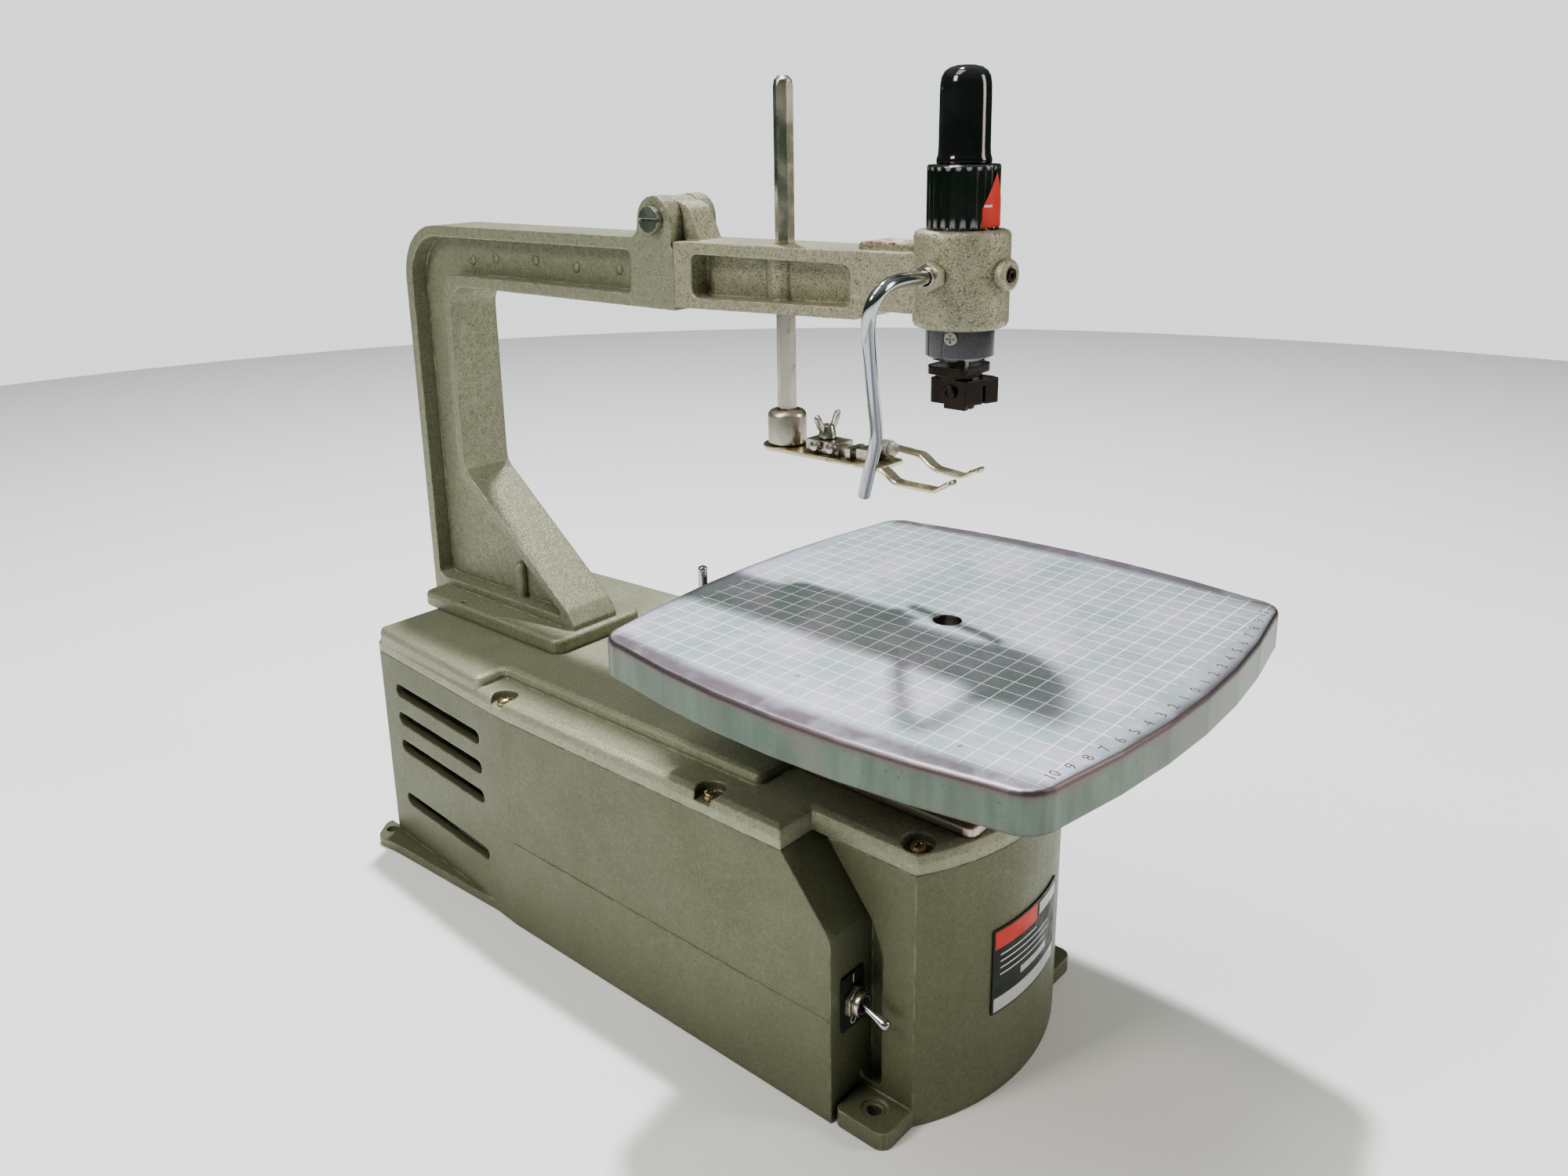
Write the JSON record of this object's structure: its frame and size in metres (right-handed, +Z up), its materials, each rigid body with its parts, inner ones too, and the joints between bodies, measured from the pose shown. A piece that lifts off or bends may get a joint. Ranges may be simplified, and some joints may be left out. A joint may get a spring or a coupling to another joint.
{
  "type": "bench scroll saw",
  "caption": "Bench scroll saw with cast C-frame, folding upper arm, spring head, tilting table with centimetre grid, and boxed motor base.",
  "frame": {"origin": "middle of the footprint's bounding box, on the bench surface", "axes": "+X to the operator's right, +Y from the operator's side towards the arm's column, +Z up"},
  "size_m": [0.258, 0.5304, 0.4773],
  "materials": {
    "hammer_paint": "hammertone enamel, olive grey, worn bright along the edges",
    "machined_iron": "machined and polished top with a scribed grid",
    "chrome": "bright plated, lightly scratched",
    "nickel": "dull nickel plate, aged",
    "steel": "turned steel, oiled",
    "blackened_steel": "blackened, brown where rubbed",
    "black_plastic": "high gloss black",
    "brass_plate": "brassed steel screw",
    "bronze": "oiled bearing bronze",
    "laminations": "stacked sheet, varnished",
    "grey_plastic": "moulded, matt",
    "rubber": "black, matt",
    "label": "dark printed plate"
  },
  "bodies": {
    "base": {"base_housing": "hammer_paint", "top_cover": "hammer_paint", "cover_screw_left_1": "brass_plate", "cover_screw_right_1": "brass_plate", "cover_screw_left_2": "brass_plate", "cover_screw_right_2": "brass_plate", "cover_screw_left_3": "brass_plate", "cover_screw_right_3": "brass_plate", "rear_arm": "hammer_paint", "arm_bolt_left_1": "steel", "arm_bolt_right_1": "steel", "arm_bolt_left_2": "steel", "arm_bolt_right_2": "steel", "arm_hinge_pin": "steel", "trunnion_base": "hammer_paint", "trunnion_bolt_left": "steel", "trunnion_bolt_right": "steel", "tilt_lock_bolt": "steel", "plunger_guide": "hammer_paint", "guide_bush": "bronze", "motor_mount": "hammer_paint", "motor_rear_bell": "hammer_paint", "stator": "laminations", "switch_body": "grey_plastic", "switch_plate": "label", "switch_nut": "nickel", "inlet_bush": "rubber", "rating_plate": "label"},
    "folding_arm": {"front_arm": "hammer_paint", "head_cylinder": "chrome", "head_cap": "black_plastic", "tension_spring": "steel", "cylinder_screw": "steel", "collar_clamp_screw": "blackened_steel", "blower_pipe_nut": "nickel"},
    "upper_drive": {"upper_plunger": "steel", "upper_blade_holder": "blackened_steel", "upper_holder_jaw": "blackened_steel", "upper_holder_screw": "blackened_steel"},
    "blower": {"blower_pipe": "chrome"},
    "hold_down": {"hold_down_rod": "nickel", "hold_down_boss": "chrome", "hold_down_foot": "nickel", "hold_down_block": "steel", "foot_screw_front": "steel", "foot_screw_rear": "steel", "finger_nut": "blackened_steel"},
    "finger": {"hold_down_finger": "nickel"},
    "wing_nut_body": {"wing_nut": "steel"},
    "rod_knob": {"rod_lock_knob": "black_plastic"},
    "table_body": {"table": "machined_iron"},
    "tilt_lever": {"tilt_lock_lever": "chrome"},
    "lower_drive": {"lower_plunger": "steel", "lower_blade_holder": "blackened_steel", "lower_holder_jaw": "blackened_steel", "lower_holder_screw": "blackened_steel"},
    "motor_turning": {"motor_rotor": "laminations", "crank_disc": "steel", "cooling_fan": "grey_plastic"},
    "switch_bat": {"switch_lever": "chrome"}
  },
  "joints": [
    {"name": "arm_fold", "type": "hinge", "parent": "base", "child": "folding_arm", "pos_m": [0, 0.03425, 0.4095], "axis": [-1, 0, 0], "range_deg": [0, 90]},
    {"name": "upper_plunger_stroke", "type": "slide", "parent": "folding_arm", "child": "upper_drive", "axis": [0, 0, 1], "range_m": [-0.025, 0], "stiffness_N_per_m": 400, "springref_m": 0.05, "deforming": ["tension_spring"]},
    {"name": "blower_swivel", "type": "hinge", "parent": "folding_arm", "child": "blower", "pos_m": [-0.026, -0.14075, 0.3915], "axis": [1, 0, 0], "range_deg": [-35, 40]},
    {"name": "hold_down_height", "type": "slide", "parent": "folding_arm", "child": "hold_down", "axis": [0, 0, 1], "range_m": [-0.062, 0.024]},
    {"name": "finger_spacing", "type": "slide", "parent": "hold_down", "child": "finger", "axis": [1, 0, 0], "range_m": [0, 0.004]},
    {"name": "wing_nut_turn", "type": "hinge", "parent": "hold_down", "child": "wing_nut_body", "pos_m": [0, -0.06575, 0.308], "axis": [0, 0, 1], "range_deg": [-180, 180]},
    {"name": "rod_knob_turn", "type": "hinge", "parent": "folding_arm", "child": "rod_knob", "pos_m": [0.02, -0.03975, 0.383], "axis": [1, 0, 0], "range_deg": [-180, 180]},
    {"name": "table_tilt", "type": "hinge", "parent": "base", "child": "table_body", "pos_m": [0, -0.13775, 0.228], "axis": [0, -1, 0], "range_deg": [0, 30]},
    {"name": "tilt_lock_turn", "type": "hinge", "parent": "base", "child": "tilt_lever", "pos_m": [0, -0.08175, 0.194], "axis": [0, -1, 0], "range_deg": [0, 20]},
    {"name": "lower_plunger_stroke", "type": "slide", "parent": "base", "child": "lower_drive", "axis": [0, 0, 1], "range_m": [-0.009, 0.009]},
    {"name": "motor_spin", "type": "hinge", "parent": "base", "child": "motor_turning", "pos_m": [0, -0.03775, 0.062], "axis": [0, 1, 0], "continuous": true},
    {"name": "switch_throw", "type": "hinge", "parent": "base", "child": "switch_bat", "pos_m": [-0.0735, -0.14135, 0.061], "axis": [-1, 0, 0], "range_deg": [0, 34]}
  ]
}
